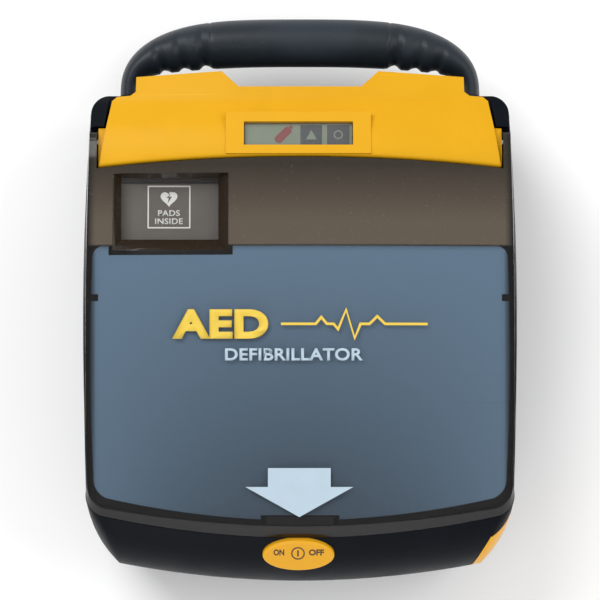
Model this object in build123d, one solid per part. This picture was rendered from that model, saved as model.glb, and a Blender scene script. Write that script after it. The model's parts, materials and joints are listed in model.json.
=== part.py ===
from build123d import *
from math import cos, hypot, pi, radians, sin
import os

# Portable defibrillator lying on its back: +Z is up out of its face, +Y points to the carrying
# handle and +X to the charger cartridge's side. The origin is the middle of the footprint, on the
# surface it rests on. All sizes are in millimetres.

# Overall
front_y = -131.5            # tip of the nose
handle_top_y = 131.5        # outside of the handle
top_z = 107.0               # highest point of the lid, beside the hood
crown_radius = 1128.0       # the lid and the hood are gently arched from side to side

# Casing
parting_z = 48.0            # the joint between the two casing halves, where they are widest
rim_z = 91.0                # top of the upper casing, under the lid
half_width = 101.5
base_z = 2.0
wall = 2.6
seam = 1.4                  # height of the gasket between the casing halves
deck_y = 54.0               # rear edge of the deck, beside the hood
deck_top_z = 90.6
face_x = -0.7               # the display and the power button sit a little left of the middle

# Lid and its hinge
lid_gap = 0.3
lid_wall = 2.0
lid_side_wall = 1.8
arch_y = 59.2               # the lid's rear edge at the middle and at the ears
arch_side_y = 54.4
ear_inner_x = 91.3
hinge_y = 67.0
hinge_z = 96.5
hinge_radius = 5.1
pin_radius = 1.5

# Lid window: outer corner points of its bevel and the clear floor
window_outer = (-84.0, 17.4, -32.0, 52.1)
window_inner = (-80.4, 22.6, -36.7, 50.5)
window_floor_z = 99.6
window_under_z = 98.2
window_bevel_z = 104.4       # top of the bevel round the window

# Power button and lid latch
button_centre = (face_x, -118.4, 85.3)
button_slope = 44.0
button_radii = (16.2, 9.4)
button_gap = 0.4
latch_half_width = 16.3
latch_y = (-108.2, -105.8)
latch_stem_y = -107.2       # its lower part stands back, out of the button's way
latch_shoulder_z = 89.4
latch_slot_y = (-110.1, -100.5)

# Display in the hood
display_centre = (face_x, 70.6, 103.9)
display_tilt = 10.3

# Shock button
shock_centre = (57.5, 42.5)
shock_size = (46.0, 18.0)

# Electrode pouch's label, under the lid's window
label_centre = (-58.6, 35.4)
label_size = (47.0, 26.0)

# Charger cartridge in the lower right corner
cartridge_y = (-120.5, -102.5)
cartridge_z = (30.0, 62.0)
cartridge_inner_x = 6.0
cartridge_cut = ((78.7, -123.7), (91.7, -100.0))  # the slanted cut behind the cartridge's face
cartridge_face_z = (27.0, 84.0)

# Handle
handle_z = 48.0
grip_half_length = 41.4
handle_foot_x = 80.3
handle_foot_y = 93.9
handle_end_y = 88.0
handle_middle_y = 120.2
handle_depth = 22.4
handle_height = 24.0
foot_depth = 8.0
foot_height = 20.0

# Main board
board = (-82.0, -88.0, 82.0, 78.0)
board_z = 14.0
board_thickness = 1.6

foot_radius = 7.0
foot_places = [(-76.0, -94.0), (76.0, -94.0), (-76.0, 68.0), (76.0, 68.0)]

crown_axis = Axis((0, 0, top_z - crown_radius), (0, 1, 0))


def write(name, *solids):
    """Write one sub-part, with all its separate solids, to its own file."""
    pieces = [solid for shape in solids for solid in shape.solids()]
    shape = pieces[0] if len(pieces) == 1 else Compound(children=pieces)
    export_step(shape, f"parts/{name}.step")


def block(x0, y0, z0, x1, y1, z1):
    """A box between two corners."""
    middle = ((x0 + x1) / 2, (y0 + y1) / 2, (z0 + z1) / 2)
    return Pos(*middle) * Box(x1 - x0, y1 - y0, z1 - z0)


def rod(start, end, radius):
    """A round bar between two points."""
    a = Vector(*start)
    b = Vector(*end)
    plane = Plane(origin=a, z_dir=b - a)
    return extrude(plane * Circle(radius), (b - a).length)


def outline(z, edges):
    """A face at height z from edges given as runs of plan points: two for a line, three for an arc."""
    curves = []
    for run in edges:
        points = [(x, y, z) for x, y in run]
        curves.append(Line(*points) if len(points) == 2 else ThreePointArc(*points))
    return Face(Wire(curves))


def mirrored(runs):
    """The right-hand runs of an outline followed by their left-hand images, back to front."""
    left = [[(-x, y) for x, y in reversed(run)] for run in reversed(runs)]
    return runs + left


def casing_corners(z, inset):
    """Plan points of the casing's outline: nose, lower corner, side and rear corner."""
    t = max(0.0, (z - parting_z) / (rim_z - parting_z))
    swell = min(t, 1.0) ** 3
    nose = front_y + 20.2 * swell
    return {
        "nose": (0.0, nose + inset),
        "toe": (83.0 + 6.6 * swell - 0.7 * inset, nose + 8.1 + 1.8 * swell + inset),
        "toe_mid": (93.5 + 0.7 * swell - 0.8 * inset, -108.6 + 10.4 * swell + 0.6 * inset),
        "side_start": (98.6 - 2.4 * t - inset, -91.5 + 1.7 * t + 0.3 * inset),
        "side_mid": (half_width - 4.1 * t - inset, -3.0),
        "side_end": (98.4 - 3.6 * t - inset, 84.0 - 4.0 * t - 0.7 * inset),
        "heel_mid": (95.8 - 3.6 * t - inset, 91.2 - 4.7 * t - inset),
        "heel": (89.0 - 3.4 * t - 0.7 * inset, 94.0 - 5.2 * t - inset),
    }


def casing_section(z, inset=0.0):
    """The casing's plan outline at one height."""
    p = casing_corners(z, inset)
    nose_side = (p["toe"][0] / 2, p["nose"][1] + (p["toe"][1] - p["nose"][1]) * 0.26)
    right = [
        [p["nose"], nose_side, p["toe"]],
        [p["toe"], p["toe_mid"], p["side_start"]],
        [p["side_start"], p["side_mid"], p["side_end"]],
        [p["side_end"], p["heel_mid"], p["heel"]],
        [p["heel"], (0.0, p["heel"][1])],
    ]
    return outline(z, mirrored(right))


def crowned(profile_edges):
    """A body whose side-view profile is carried round the crown of the lid and hood."""
    face = Face(Wire(profile_edges))
    body = revolve(face, axis=crown_axis, revolution_arc=14)
    return body.rotate(crown_axis, -7)


def lid_profile(drop):
    """Side view of everything under the lid's surface, lowered by drop; it dips along the ears."""
    rear = (0, 76, top_z - 3.4 - drop)
    ear = (0, 68, top_z - 1.2 - drop)
    crest = (0, 58, top_z - drop)
    middle = (0, -25, top_z - 2.3 - drop)
    front = (0, -116, top_z - 8.4 - drop)
    return [
        ThreePointArc(rear, ear, crest),
        ThreePointArc(crest, middle, front),
        Line(front, (0, -116, 60)),
        Line((0, -116, 60), (0, 76, 60)),
        Line((0, 76, 60), rear),
    ]


def hood_profile(drop):
    """Side view of everything under the hood's surface: level by the lid, then falling to a flange."""
    slope = Spline(
        (0, 48, 105.4 - drop), (0, 63, 105.2 - drop), (0, 76, 101.5 - drop), (0, 88, 94.9 - drop),
        tangents=[(0, 1, 0), (0, 1, -0.3)],
    )
    flange_end = (0, 104, 93.9 - drop)
    return [
        slope,
        Line((0, 88, 94.9 - drop), flange_end),
        Line(flange_end, (0, 104, 60)),
        Line((0, 104, 60), (0, 48, 60)),
        Line((0, 48, 60), (0, 48, 105.4 - drop)),
    ]


# ---- casing ----

def upper_outer():
    low = parting_z + seam / 2
    heights = [low + (rim_z - low) * i / 4 for i in range(5)]
    return loft([casing_section(z) for z in heights])


def lower_outer():
    bottom = parting_z - seam / 2
    body = loft([casing_section(bottom), casing_section(24.0, 1.4), casing_section(base_z, 5.0)])
    return fillet(body.edges().group_by(Axis.Z)[0], 3.0)


def lower_inner():
    top = parting_z - seam / 2 + 0.1
    sections = [casing_section(top, wall)]
    sections.append(casing_section(24.0, 1.4 + wall))
    sections.append(casing_section(base_z + wall, 5.0 + wall))
    return loft(sections)


def upper_inner():
    low = parting_z + seam / 2 - 0.1
    high = rim_z - wall
    heights = [low + (high - low) * i / 4 for i in range(5)]
    return loft([casing_section(z, wall + 0.6) for z in heights])


def deck_outline(z, gap):
    """The opening in the upper casing that the deck fills."""
    p = casing_corners(rim_z, 5.0 + gap)
    nose_side = (p["toe"][0] / 2, p["nose"][1] + (p["toe"][1] - p["nose"][1]) * 0.26)
    rear_x = p["side_mid"][0] - 0.8
    right = [
        [p["nose"], nose_side, p["toe"]],
        [p["toe"], p["toe_mid"], p["side_start"]],
        [p["side_start"], p["side_mid"], (rear_x, deck_y - gap)],
        [(rear_x, deck_y - gap), (0.0, deck_y - gap)],
    ]
    return outline(z, mirrored(right))


def button_plane():
    angle = radians(button_slope)
    return Plane(origin=button_centre, x_dir=(1, 0, 0), z_dir=(0, -sin(angle), cos(angle)))


def button_shape(growth, low, high):
    """The power button's oval, between two depths along its own direction of travel."""
    face = button_plane().offset(low) * Ellipse(button_radii[0] + growth, button_radii[1] + growth)
    return extrude(face, high - low)


def cartridge_tunnel(growth):
    y0, y1 = cartridge_y
    z0, z1 = cartridge_z
    return block(cartridge_inner_x - growth, y0 - growth, z0 - growth, 110, y1 + growth, z1 + growth)


def cartridge_corner(growth):
    """The block of the casing's corner that the cartridge's face takes the place of."""
    (x0, y0), (x1, y1) = cartridge_cut
    lean = (x1 - x0) / (y1 - y0)
    shift = growth * hypot(1, lean)
    start = (x0 - shift - lean * 4, y0 - 4)
    end = (x1 - shift + lean * growth, y1 + growth)
    plan = Polygon(start, (110, y0 - 4), (110, y1 + growth), end, align=None)
    z0, z1 = cartridge_face_z
    return extrude(Pos(0, 0, z0 - growth) * plan, z1 - z0 + 2 * growth)


def cheeks():
    """The two black cheeks that stand beside the hood."""
    stem = loft([casing_section(rim_z), casing_section(106.0)])
    shape = stem & crowned(hood_profile(0.3))
    right = Polygon((85.3, 96), (88.4, 74.0), (104, 74.0), (104, 96), align=None)
    zone = extrude(Pos(0, 0, rim_z) * right, 17)
    both = zone + mirror(zone, about=Plane.YZ)
    return shape & both


def flank_x(y):
    """Half-width of the hood's raised part at a place along its length."""
    return 90.6 - 0.155 * (y - 54.0)


def upper_casing(handle):
    body = upper_outer() + cheeks()
    body -= upper_inner()
    body -= extrude(deck_outline(rim_z - wall - 2, 0.0), wall + 4)
    body -= block(-80, 60, 80, 80, 86, 96)
    body -= button_shape(button_gap, -8, 8)
    body -= block(-latch_half_width - 1, latch_slot_y[0], 84, latch_half_width + 1, -100, 96)
    body -= cartridge_corner(0.0)
    body -= cartridge_tunnel(0.5)
    body -= handle
    return body


def base_shell(handle):
    body = lower_outer() - lower_inner()
    for x, y in foot_places:
        body -= Pos(x, y, base_z) * Cylinder(foot_radius + 0.1, 1.2)
    for x, y in board_posts():
        body += rod((x, y, base_z + 1.2), (x, y, board_z), 3.5)
        body -= Pos(x, y, board_z) * Cylinder(1.25, 12)
    for x, y in case_screw_places():
        body += rod((x, y, base_z), (x, y, parting_z - seam / 2), 4.5)
        body -= rod((x, y, base_z - 1), (x, y, base_z + 6), 3.6)
        body -= rod((x, y, base_z), (x, y, parting_z), 1.7)
    body -= cartridge_corner(0.0)
    body -= cartridge_tunnel(0.5)
    body -= block(-32, -14, 0, 32, 14, base_z + 0.5)
    body -= handle
    return body


def board_posts():
    x0, y0, x1, y1 = board
    xs = (x0 + 6, x1 - 6)
    ys = (y0 + 6, (y0 + y1) / 2, y1 - 6)
    return [(x, y) for x in xs for y in ys]


def case_screw_places():
    return [(-88, -60), (88, -60), (-88, 40), (88, 40)]


def case_screws():
    screws = []
    for x, y in case_screw_places():
        head = rod((x, y, base_z + 3.0), (x, y, base_z + 6), 3.2)
        screws.append(head + rod((x, y, base_z + 6), (x, y, parting_z + 8), 1.6))
    return screws


def case_bosses():
    """Posts on ribs inside the upper casing that the case screws bite into."""
    low = parting_z + seam / 2
    bosses = None
    for x, y in case_screw_places():
        wall_x = 96.6 if x > 0 else -96.6
        post = rod((x, y, low), (x, y, 79), 4.5)
        rib = block(min(x, wall_x), y - 1.2, low, max(x, wall_x), y + 1.2, 79)
        boss = post + rib - rod((x, y, parting_z), (x, y, parting_z + 8), 1.6)
        bosses = boss if bosses is None else bosses + boss
    return bosses


def case_gasket(handle):
    low = parting_z - seam / 2
    ring = extrude(casing_section(low, 0.5), seam) - extrude(casing_section(low, 2.2), seam)
    return ring - cartridge_corner(0.0) - cartridge_tunnel(0.5) - handle


# ---- hood and display ----

def hood_plan(z):
    """The hood from above: an arched front edge, slanted flanks and a stepped flange."""
    rear_x = flank_x(88.5)
    right = [
        [(0.0, arch_y + 0.4), (45.5, arch_y - 0.8), (flank_x(54.8), arch_side_y + 0.4)],
        [(flank_x(54.8), arch_side_y + 0.4), (rear_x, 86.4)],
        [(rear_x, 86.4), (82.9, 88.4)],
        [(82.9, 88.4), (77.0, 88.8)],
        [(77.0, 88.8), (74.5, 90.6)],
        [(74.5, 90.6), (74.3, 97.4)],
        [(74.3, 97.4), (35.6, 99.9)],
        [(35.6, 99.9), (27.8, 92.8)],
        [(27.8, 92.8), (0.0, 92.8)],
    ]
    return outline(z, mirrored(right))


def hood_inside(z):
    rear_x = flank_x(84.0) - 3.4
    front_x = flank_x(58.0) - 3.4
    right = [
        [(0.0, arch_y + 3.0), (45.0, arch_y + 1.8), (front_x, arch_side_y + 3.2)],
        [(front_x, arch_side_y + 3.2), (rear_x, 84.6)],
        [(rear_x, 84.6), (0.0, 86.0)],
    ]
    return outline(z, mirrored(right))


def display_plane():
    """The flat raised panel round the display, tipped a little towards the handle."""
    tilt = radians(display_tilt)
    return Plane(origin=display_centre, x_dir=(1, 0, 0), z_dir=(0, sin(tilt), cos(tilt)))


def top_hood():
    hood = extrude(hood_plan(88.9), 20) & crowned(hood_profile(0.0))
    hood -= block(-95, 40, 80, 95, 89.6, rim_z)
    front_edges = [
        edge for edge in hood.edges()
        if edge.center().Y < 61 and edge.center().Z > 98 and edge.length > 40
    ]
    hood = fillet(front_edges, 1.8)
    hood += extrude(display_plane() * Rectangle(65.2, 19.6), -9)
    hood -= extrude(hood_inside(80.0), 40) & crowned(hood_profile(2.6))
    hood -= extrude(display_plane().offset(-12) * (Pos(0, -0.3) * Rectangle(49.0, 11.0)), 20)
    hood += hood_flanks()
    for side in (-1, 1):
        inner = (side * 82.5, hinge_y, hinge_z)
        hood += rod(inner, (side * (flank_x(hinge_y) - 1.0), hinge_y, hinge_z), 4.0)
        hood -= rod((side * 84.2, hinge_y, hinge_z), (side * 95, hinge_y, hinge_z), pin_radius + 0.05)
    return hood


def hood_flanks():
    """Low ledges that fill the space between the hood's slanted sides and the lid's ears."""
    outer_x = ear_inner_x - 0.4
    plan = Polygon(
        (flank_x(55.5) - 1, 55.5), (outer_x, 55.5), (outer_x, 73.3), (flank_x(73.3) - 1, 73.3), align=None
    )
    right = extrude(Pos(0, 0, rim_z) * plan, 14) & crowned(hood_profile(2.2))
    return right + mirror(right, about=Plane.YZ)


def display_lens():
    frame_plane = display_plane().offset(-2.4)
    return extrude(frame_plane * (Pos(0, -0.3) * Rectangle(48.8, 10.8)), 1.0)


def display_panel():
    return extrude(display_plane().offset(-5.0) * (Pos(0, -0.3) * Rectangle(48.4, 10.4)), 2.2)


def display_board():
    return extrude(display_plane().offset(-10.6) * Rectangle(50.0, 11.0), 1.2)


# ---- lid ----

def lid_section(z, growth, rear):
    """The lid's plan outline at one height; growth is negative inside its walls."""
    rise = z - (rim_z + lid_gap)
    nose_in = 0.63 * rise - growth
    side_in = 0.11 * rise - growth
    p = casing_corners(rim_z, lid_gap)
    toe = (p["toe"][0] - 0.35 * nose_in, p["toe"][1] + nose_in)
    nose = (0.0, p["nose"][1] + nose_in)
    nose_side = (toe[0] / 2, nose[1] + (toe[1] - nose[1]) * 0.26)
    toe_mid = (p["toe_mid"][0] - 0.55 * nose_in, p["toe_mid"][1] + 0.85 * nose_in)
    side_start = (p["side_start"][0] - side_in, p["side_start"][1] + 0.8 * nose_in)
    side_mid = (p["side_mid"][0] - side_in, -3.0)
    side_end = (95.6 - side_in, 73.3)
    right = [
        [nose, nose_side, toe],
        [toe, toe_mid, side_start],
        [side_start, side_mid, side_end],
    ]
    if rear == "arch":
        right.append([side_end, (ear_inner_x, 73.3)])
        right.append([(ear_inner_x, 73.3), (ear_inner_x, arch_side_y)])
        right.append([(ear_inner_x, arch_side_y), (45.6, arch_y - 1.2), (0.0, arch_y)])
    else:
        right[2] = [side_start, side_mid, (94.6 - side_in, 48.0)]
        right.append([(94.6 - side_in, 48.0), (ear_inner_x, 50.0)])
        right.append([(ear_inner_x, 50.0), (ear_inner_x, 76.0)])
        right.append([(ear_inner_x, 76.0), (0.0, 76.0)])
    return outline(z, mirrored(right))


def lid_outer():
    low = rim_z + lid_gap
    body = loft([lid_section(low, 0.0, "arch"), lid_section(109.0, 0.0, "arch")], ruled=True)
    body = body & crowned(lid_profile(0.0))
    ear_rear = block(-100, hinge_y, 80, 100, 80, 112)
    ear_rear -= rod((-101, hinge_y, hinge_z), (101, hinge_y, hinge_z), hinge_radius)
    return body - ear_rear


def lid_hollow():
    low = rim_z - 1.0
    ends = [lid_section(z, -lid_side_wall, "open") for z in (low, 109.0)]
    hollow = loft(ends, ruled=True)
    return hollow & crowned(lid_profile(lid_wall))


def rectangle_at(corners, z, growth=0.0):
    x0, y0, x1, y1 = corners
    middle = ((x0 + x1) / 2, (y0 + y1) / 2, z)
    return Pos(*middle) * Rectangle(x1 - x0 + 2 * growth, y1 - y0 + 2 * growth)


def lid_shell():
    outer = lid_outer()
    tub = extrude(rectangle_at(window_outer, window_under_z, 1.5), 12) & outer
    body = outer - lid_hollow() + tub
    bevel_ends = [rectangle_at(window_inner, window_floor_z), rectangle_at(window_outer, window_bevel_z)]
    well = loft(bevel_ends, ruled=True)
    body -= well
    body -= extrude(rectangle_at(window_outer, window_bevel_z), 6)
    body -= extrude(rectangle_at(window_inner, 90.0), 11)
    for side in (-1, 1):
        body -= rod((side * 90, hinge_y, hinge_z), (side * 94.2, hinge_y, hinge_z), pin_radius)
    return body


def lid_window_pane():
    return extrude(rectangle_at(window_inner, window_under_z), window_floor_z - window_under_z)


def instruction_card():
    """The printed sheet that lies against the lid's inner face, notched for the latch and clips."""
    sheet = crowned(lid_profile(lid_wall + 0.1)) - crowned(lid_profile(lid_wall + 0.9))
    plan = lid_section(100.0, -lid_side_wall - 0.6, "open")
    zone = extrude(Pos(0, 0, -20) * plan, 40)
    card = sheet & zone
    rear_cut = block(-100, 19.6, 80, 100, 90, 120)
    card -= rear_cut
    card -= extrude(rectangle_at(window_outer, 80.0, 1.9), 40)
    card -= block(-17.6, -120, 80, 17.6, -100.8, 120)
    for side in (-1, 1):
        card -= Pos(side * 95.0, -3.5, 100) * Box(9, 3.2, 30)
    upright = [edge for edge in card.edges().filter_by(Axis.Z) if edge.center().Y > 19]
    return fillet([edge for edge in upright if abs(edge.center().X) > 88], 5.0)


def hinge_pins():
    return [
        rod((side * 84.6, hinge_y, hinge_z), (side * 94.2, hinge_y, hinge_z), pin_radius)
        for side in (-1, 1)
    ]


def lid_catch():
    """Two downward hooks on one strip, fixed under the lid above the latch slot."""
    under = crowned(lid_profile(lid_wall + 0.05))
    strip = block(-15, -105.2, 95, 15, -101.4, 110) & under
    strip -= crowned(lid_profile(lid_wall + 1.6))
    hooks = [block(x - 2.5, -105.2, 88.2, x + 2.5, -103.4, 100) & under for x in (-10, 10)]
    return strip + hooks[0] + hooks[1]


# ---- buttons and latch ----

def power_button():
    cap = button_shape(0.0, -3.4, 1.5)
    top_edges = cap.edges().filter_by(GeomType.ELLIPSE)
    far = max(top_edges, key=lambda edge: edge.center().Z)
    cap = fillet([far], 1.1)
    stem = extrude(button_plane().offset(-6.4) * Rectangle(12, 6), 3.2)
    return cap + stem


def power_spring():
    plane = button_plane().offset(-12.6)
    return extrude(plane * Circle(2.4), 6.0) - extrude(plane * Circle(1.6), 6.0)


def power_switch():
    return extrude(button_plane().offset(-17.0) * Rectangle(14, 8), 4.2)


def latch_slider():
    y0, y1 = latch_y
    head = block(-latch_half_width, y0, latch_shoulder_z, latch_half_width, y1, rim_z - 0.1)
    stem = block(-latch_half_width, latch_stem_y, 85.0, latch_half_width, y1, latch_shoulder_z)
    foot = block(-latch_half_width + 4, latch_stem_y, 83.0, latch_half_width - 4, y1 + 1.4, 85.0)
    return head + stem + foot


def slot_shape(z, length, width, height):
    return extrude(Pos(shock_centre[0], shock_centre[1], z) * SlotOverall(length, width), height)


def shock_button():
    length, width = shock_size
    cap = slot_shape(86.0, length, width, 8.2)
    top = cap.edges().group_by(Axis.Z)[-1]
    return fillet(top, 1.6)


def shock_bezel():
    length, width = shock_size
    ring = slot_shape(deck_top_z, length + 3.4, width + 3.4, 2.0)
    return ring - slot_shape(deck_top_z - 1, length + 0.7, width + 0.7, 6.0)


def shock_spring():
    place = Pos(shock_centre[0], shock_centre[1], 79.2)
    coil = Cylinder(4.0, 6.6, align=(Align.CENTER, Align.CENTER, Align.MIN)) - Cylinder(3.0, 20)
    return place * coil


def shock_switch():
    x, y = shock_centre
    return block(x - 9, y - 6, 75.0, x + 9, y + 6, 79.1)


# ---- deck and what it carries ----

pouch_tray = (-89.0, -92.0, 29.0, 52.0)
column_x = 59.0
speaker_y = -34.0
socket_y = 10.0
infrared_y = -70.0


def inner_deck():
    plate = extrude(deck_outline(deck_top_z - 3.0, 0.2), 3.0)
    tray = extrude(rectangle_at(pouch_tray, 80.0), deck_top_z - 80.0)
    plate = plate + tray
    hollow = extrude(rectangle_at(pouch_tray, 82.0, -2.0), 12)
    plate -= fillet(hollow.edges().filter_by(Axis.Z), 6)
    length, width = shock_size
    plate -= slot_shape(80, length + 0.8, width + 0.8, 20)
    plate -= block(-latch_half_width - 1, -115, 80, latch_half_width + 1, latch_slot_y[1], 96)
    for column in range(7):
        for row in range(7):
            x = column_x + 4.2 * (column - 3)
            y = speaker_y + 4.2 * (row - 3)
            if hypot(column - 3, row - 3) < 3.4:
                plate -= Pos(x, y, deck_top_z) * Cylinder(1.1, 12)
    plate -= block(column_x - 13, socket_y - 9, 80, column_x + 13, socket_y + 9, 96)
    plate -= block(column_x - 8, infrared_y - 4, 80, column_x + 8, infrared_y + 4, 96)
    for x, y in deck_screw_places():
        plate -= rod((x, y, 80), (x, y, 96), 1.6)
        plate -= rod((x, y, deck_top_z - 1.2), (x, y, 96), 3.0)
    return plate


def deck_screw_places():
    return [(35.5, -92), (84, -84), (35.5, 24), (84, 24)]


def deck_screws():
    screws = []
    for x, y in deck_screw_places():
        head = rod((x, y, deck_top_z - 1.2), (x, y, deck_top_z), 2.9)
        slot = block(x - 2.2, y - 0.4, deck_top_z - 0.6, x + 2.2, y + 0.4, deck_top_z + 1)
        screws.append(head + rod((x, y, 78), (x, y, deck_top_z - 1.2), 1.5) - slot)
    return screws


def electrode_pouch():
    body = extrude(rectangle_at(pouch_tray, 82.2, -3.0), 10.6)
    body = fillet(body.edges().filter_by(Axis.Z), 8)
    return fillet(body.edges().group_by(Axis.Z)[-1], 3)


def pouch_label():
    return extrude(Pos(label_centre[0], label_centre[1], 92.8) * Rectangle(*label_size), 0.3)


def pouch_tab():
    grip = extrude(Pos(-30, -76, 92.9) * SlotOverall(30, 14), 0.5)
    return grip - extrude(Pos(-24, -76, 92) * Circle(3.4), 3)


def connector_socket():
    x, y = column_x, socket_y
    body = block(x - 12.8, y - 8.8, 78, x + 12.8, y + 8.8, deck_top_z + 0.4)
    return body - block(x - 8.2, y - 4.7, 82, x + 8.2, y + 4.7, 96)


def electrode_connector():
    x, y = column_x, socket_y
    plug = block(x - 8, y - 4.5, 82.5, x + 8, y + 4.5, deck_top_z + 0.4)
    head = block(x - 11, y - 7, deck_top_z + 0.4, x + 11, y + 7, deck_top_z + 5.4)
    head = fillet(head.edges().filter_by(Axis.Z), 3)
    return plug + head


def infrared_window():
    pane = block(column_x - 7.9, infrared_y - 3.9, 86, column_x + 7.9, infrared_y + 3.9, deck_top_z)
    return pane


def speaker_frame():
    x, y = column_x, speaker_y
    can = Pos(x, y, 83.5) * Cylinder(19, 7.4)
    cone = Pos(x, y, 85.2) * Cone(6, 17, 4.2)
    return can - cone


def speaker_magnet():
    return Pos(column_x, speaker_y, 76.3) * Cylinder(11, 6.8)


# ---- electronics ----

def main_board():
    x0, y0, x1, y1 = board
    sheet = block(x0, y0, board_z, x1, y1, board_z + board_thickness)
    for x, y in board_posts():
        sheet -= rod((x, y, board_z - 1), (x, y, board_z + 3), 1.6)
    return sheet


def board_screws():
    top = board_z + board_thickness
    screws = []
    for x, y in board_posts():
        screws.append(rod((x, y, board_z - 5), (x, y, top), 1.2) + rod((x, y, top), (x, y, top + 2), 2.6))
    return screws


board_top_z = board_z + board_thickness


def storage_capacitor():
    z = board_top_z + 18.2
    can = rod((-74, 45, z), (-14, 45, z), 18.0)
    leads = [block(-14, 45 + dy - 1, z - 1, -10, 45 + dy + 1, z + 1) for dy in (-6, 6)]
    return can + leads[0] + leads[1]


def transformer_core():
    core = block(14, 30, board_top_z, 52, 62, board_top_z + 32)
    return core - block(20, 29, board_top_z + 7, 46, 63, board_top_z + 25)


def transformer_windings():
    return [
        block(21, 24, board_top_z + 7.2, 32.6, 68, board_top_z + 24.8),
        block(33.4, 24, board_top_z + 7.2, 45, 68, board_top_z + 24.8),
    ]


def discharge_relay():
    return fillet(block(48, -22, board_top_z, 68, 8, board_top_z + 24).edges().filter_by(Axis.Z), 1.5)


def battery_cells():
    cells = []
    for row in range(2):
        for column in range(4):
            x = -61 + 19 * column
            y = -56 + 40 * row
            cells.append(rod((x, y - 17, board_top_z + 11), (x, y + 17, board_top_z + 11), 8.5))
    return cells


def battery_tray():
    tray = block(-72, -76, board_top_z, 7, 4, board_top_z + 14)
    for cell in battery_cells():
        box = cell.bounding_box()
        tray -= block(box.min.X - 0.2, box.min.Y - 0.4, board_top_z + 2, box.max.X + 0.2, box.max.Y + 0.4, 60)
    return tray


def cartridge_contacts():
    blades = []
    for z in (40.0, 46.0, 52.0):
        blades.append(block(-1.5, -113.5, z - 1, 2.6, -109.5, z + 1))
    base = block(-4.5, -117, 36, -1.5, -106, 56)
    return [base + blades[0] + blades[1] + blades[2]]


# ---- charger cartridge ----

def cartridge_face():
    corner = cartridge_corner(-0.35)
    top = upper_outer() & corner
    bottom = lower_outer() & corner
    low = parting_z - seam / 2
    band = loft([casing_section(low), casing_section(low + seam)]) & corner
    return (top + bottom + band) - cartridge_box()


def cartridge_box():
    """The cartridge's outer block, which follows a wall's thickness inside the casing's corner."""
    y0, y1 = cartridge_y
    z0, z1 = cartridge_z
    return block(cartridge_inner_x, y0, z0, 90.0, y1, z1) & casing_core()


def cartridge_body():
    y0, y1 = cartridge_y
    z0, z1 = cartridge_z
    return cartridge_box() - block(cartridge_inner_x + 4, y0 + 1.6, z0 + 1.6, 82, y1 - 1.6, z1 - 1.6)


def casing_core():
    """The casing's outer volume, drawn in by a wall, that the cartridge's box stays within."""
    top = loft([casing_section(parting_z - 0.1 + 11 * i, 2.4) for i in range(3)])
    bottom = loft([casing_section(parting_z, 2.4), casing_section(24.0, 3.8)])
    return top + bottom


def cartridge_cells():
    y = (cartridge_y[0] + cartridge_y[1]) / 2
    return [rod((16 + 33 * i, y, z), (46 + 33 * i, y, z), 7.0) for i in range(2) for z in (39.0, 53.4)]


def cartridge_pins():
    x = cartridge_inner_x
    return [block(x - 1.2, -113.5, z - 0.9, x, -109.5, z + 0.9) for z in (40.0, 46.0, 52.0)]


# ---- handle ----

def handle_line():
    """Points of the handle's centre line: straight feet joined by a squarish arch."""
    rise = handle_middle_y - handle_foot_y
    count = 20
    points = [(-handle_foot_x, handle_end_y)]
    for i in range(count + 1):
        angle = pi * i / count
        across = -cos(angle)
        x = handle_foot_x * abs(across) ** (2 / 3) * (1 if across > 0 else -1)
        points.append((x, handle_foot_y + rise * abs(sin(angle)) ** (2 / 3)))
    points.append((handle_foot_x, handle_end_y))
    return points


def handle_loft(scale):
    """The handle's bar, from foot to foot, with oval sections square to its centre line."""
    points = handle_line()
    last = len(points) - 1
    sections = []
    for i, (x, y) in enumerate(points):
        before = points[max(i - 1, 0)]
        after = points[min(i + 1, last)]
        heading = Vector(after[0] - before[0], after[1] - before[1], 0)
        reach = abs(x) / handle_foot_x
        depth = foot_depth + (handle_depth - foot_depth) * (1 - reach ** 5)
        height = foot_height + (handle_height - foot_height) * (1 - reach ** 6)
        plane = Plane(origin=(x, y, handle_z), x_dir=(0, 0, 1), z_dir=heading)
        sections.append(plane * Ellipse(height / 2 * scale, depth / 2 * scale))
    return loft(sections)


def handle_core(bar):
    core = handle_loft(0.5)
    feet = bar & block(-100, 80, 20, 100, handle_foot_y + 0.2, 80)
    body = core + feet
    for screw in handle_screws():
        body -= screw
    return body


def handle_grip(bar):
    return (bar & block(-grip_half_length, 90, 20, grip_half_length, 140, 80)) - handle_loft(0.5)


def handle_arms(bar):
    outside = bar & block(-100, handle_foot_y + 0.2, 20, 100, 140, 80)
    outside -= block(-grip_half_length - 0.1, 90, 20, grip_half_length + 0.1, 140, 80)
    return outside - handle_loft(0.5)


def handle_screws():
    screws = []
    for side in (-1, 1):
        for z in (handle_z - 5.5, handle_z + 5.5):
            x = side * handle_foot_x
            head = rod((x, handle_end_y - 2.8, z), (x, handle_end_y, z), 2.9)
            screws.append(head + rod((x, handle_end_y, z), (x, handle_foot_y, z), 1.2))
    return screws


# ---- feet and plate ----

def rubber_feet():
    feet = []
    for x, y in foot_places:
        foot = rod((x, y, 0), (x, y, base_z + 0.6), foot_radius)
        feet.append(fillet(foot.edges().group_by(Axis.Z)[0], 0.6))
    return feet


def rating_plate():
    return block(-31.8, -13.8, base_z, 31.8, 13.8, base_z + 0.5)


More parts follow.
